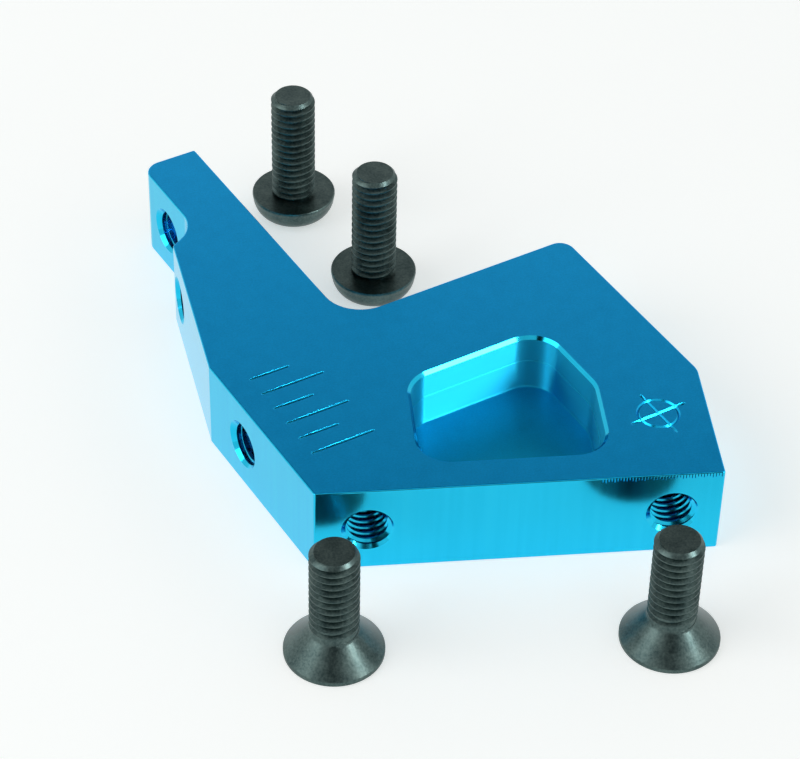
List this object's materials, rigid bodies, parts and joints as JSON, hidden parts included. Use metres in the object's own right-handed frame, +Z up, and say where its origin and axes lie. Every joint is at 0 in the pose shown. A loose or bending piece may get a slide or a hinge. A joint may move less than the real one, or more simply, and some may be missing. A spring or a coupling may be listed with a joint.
{
  "type": "mounting bracket with machine screws",
  "caption": "Flat dog-leg bracket with a blind pocket, an offset arm ending in a thin pad, and tapped holes in its edge faces, laid out with its loose hex socket screws.",
  "frame": {"origin": "middle of the whole set's footprint, on the surface that the bracket and the screws stand on", "axes": "+Z up, square to the bracket's flat faces; -Y is the outward normal of the front mounting face; +X runs along that face, to the right seen from the front"},
  "size_m": [0.0332, 0.0489, 0.0097],
  "materials": {
    "blue_anodised_aluminium": "satin blue anodised over a fine milled surface",
    "black_oxide_steel": "satin black oxide, lightly oiled"
  },
  "bodies": {
    "bracket": {"bracket": "blue_anodised_aluminium"},
    "button_screw_left": {"button_screw_left": "black_oxide_steel"},
    "button_screw_right": {"button_screw_right": "black_oxide_steel"},
    "countersunk_screw_left": {"countersunk_screw_left": "black_oxide_steel"},
    "countersunk_screw_right": {"countersunk_screw_right": "black_oxide_steel"}
  },
  "joints": [
    {"name": "button_screw_left_lift", "type": "slide", "parent": "bracket", "child": "button_screw_left", "axis": [0, 0, 1], "range_m": [0, 0.02]},
    {"name": "button_screw_right_lift", "type": "slide", "parent": "bracket", "child": "button_screw_right", "axis": [0, 0, 1], "range_m": [0, 0.02]},
    {"name": "countersunk_screw_left_lift", "type": "slide", "parent": "bracket", "child": "countersunk_screw_left", "axis": [0, 0, 1], "range_m": [0, 0.02]},
    {"name": "countersunk_screw_right_lift", "type": "slide", "parent": "bracket", "child": "countersunk_screw_right", "axis": [0, 0, 1], "range_m": [0, 0.02]}
  ]
}
